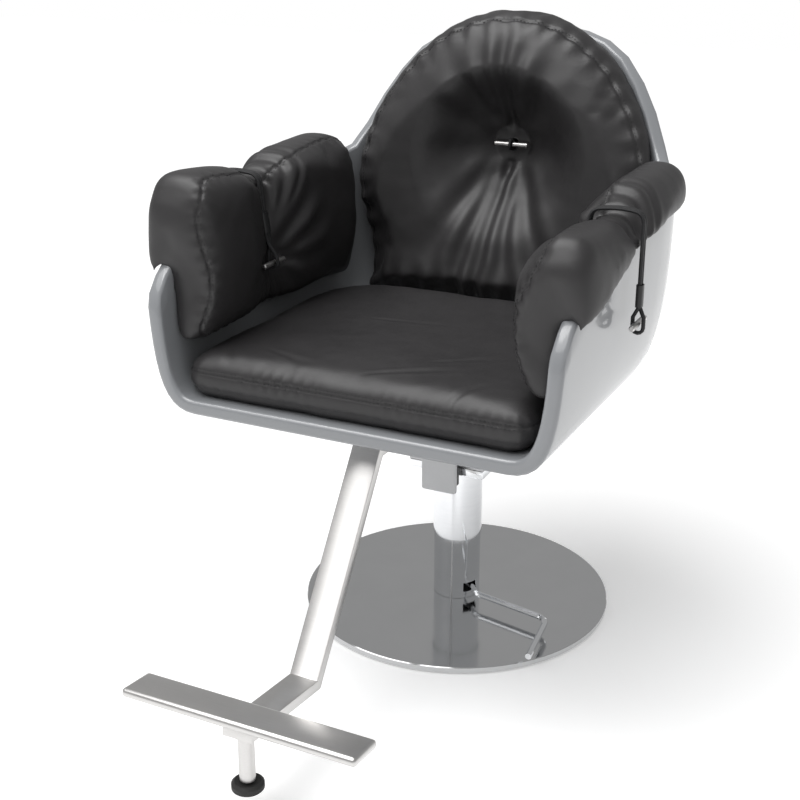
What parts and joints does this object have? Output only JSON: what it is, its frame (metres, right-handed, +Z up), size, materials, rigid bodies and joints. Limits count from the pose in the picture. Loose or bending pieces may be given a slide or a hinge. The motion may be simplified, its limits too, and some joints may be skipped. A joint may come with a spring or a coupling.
{
  "type": "styling chair",
  "caption": "Salon styling chair: glossy moulded bucket shell with padded cushions tied on by cords and toggles, on a swivelling pump column with a round floor plate and cranked footrest.",
  "frame": {"origin": "centre of the floor plate's underside, on the axis of the lift column", "axes": "+Z up the column, -Y forwards from the seat towards the footrest, +X to the sitter's left"},
  "size_m": [0.6746, 0.9593, 0.936],
  "materials": {
    "base_rubber": "matt black moulded rubber",
    "mirror_steel": "mirror polished sheet",
    "chrome": "bright plated",
    "plain_steel": "plain, slightly dull",
    "bronze": "turned",
    "brushed_steel": "fine brushed stainless",
    "grey_paint": "light grey, smooth",
    "black_plastic": "satin black",
    "black_cord": "round black cord",
    "grey_gloss": "mid grey high gloss",
    "black_leather": "soft black leatherette, low sheen"
  },
  "bodies": {
    "base": {"base_mat": "base_rubber", "base_disk": "mirror_steel", "pump_foot": "plain_steel", "foot_bolt": "plain_steel", "pump_tube": "chrome", "pump_cap": "chrome", "pump_cylinder": "plain_steel", "ram_seal": "base_rubber", "lever_clevis": "plain_steel", "lever_pin": "plain_steel", "lever_spring": "plain_steel"},
    "ram": {"ram": "chrome", "piston_ring": "black_plastic", "swivel_washer": "plain_steel", "swivel_nut": "plain_steel"},
    "seat": {"shell_pad": "base_rubber", "column_sleeve": "chrome", "top_flange": "chrome", "flange_bolt_1": "chrome", "flange_bolt_2": "chrome", "flange_bolt_3": "chrome", "flange_bolt_4": "chrome", "riser_frame": "plain_steel", "seat_plate": "plain_steel", "shell_bolt_1": "plain_steel", "shell_bolt_2": "plain_steel", "shell_bolt_3": "plain_steel", "shell_bolt_4": "plain_steel", "footrest_socket": "plain_steel", "clamp_screw": "plain_steel", "footrest_screw": "plain_steel", "swivel_bush": "bronze", "footrest_bar": "brushed_steel", "footrest_pad": "brushed_steel", "foot_post": "brushed_steel", "back_toggle": "brushed_steel", "back_toggle_outer": "brushed_steel", "arm_toggle_inner_left": "brushed_steel", "arm_toggle_inner_right": "brushed_steel", "arm_toggle_outer_left": "brushed_steel", "arm_toggle_outer_right": "brushed_steel", "bracket_cover": "grey_paint", "latch_block": "black_plastic", "back_tie_washer": "black_plastic", "cord_sleeve_inner_left": "black_plastic", "cord_sleeve_inner_right": "black_plastic", "cord_sleeve_outer_left": "black_plastic", "cord_sleeve_outer_right": "black_plastic", "arm_cord_left": "black_cord", "arm_cord_right": "black_cord", "back_cord": "black_cord", "shell": "grey_gloss", "seat_cushion": "black_leather", "back_cushion": "black_leather", "arm_cushion_left": "black_leather", "arm_cushion_right": "black_leather"},
    "lever": {"pump_lever": "chrome", "lever_hub": "plain_steel"},
    "glide": {"foot_glide": "base_rubber", "glide_stem": "plain_steel"}
  },
  "joints": [
    {"name": "seat_lift", "type": "slide", "parent": "base", "child": "ram", "axis": [0, 0, 1], "range_m": [-0.028, 0.075]},
    {"name": "seat_swivel", "type": "hinge", "parent": "ram", "child": "seat", "pos_m": [0, 0, 0.242], "axis": [0, 0, 1], "continuous": true},
    {"name": "pump_lever", "type": "hinge", "parent": "base", "child": "lever", "pos_m": [0.01, -0.01, 0.033], "axis": [0, 1, 0], "range_deg": [0, 4], "stiffness_Nm_per_rad": 10, "springref_deg": -8.59},
    {"name": "glide_adjust", "type": "slide", "parent": "seat", "child": "glide", "axis": [0, 0, 1], "range_m": [-0.015, 0]}
  ]
}
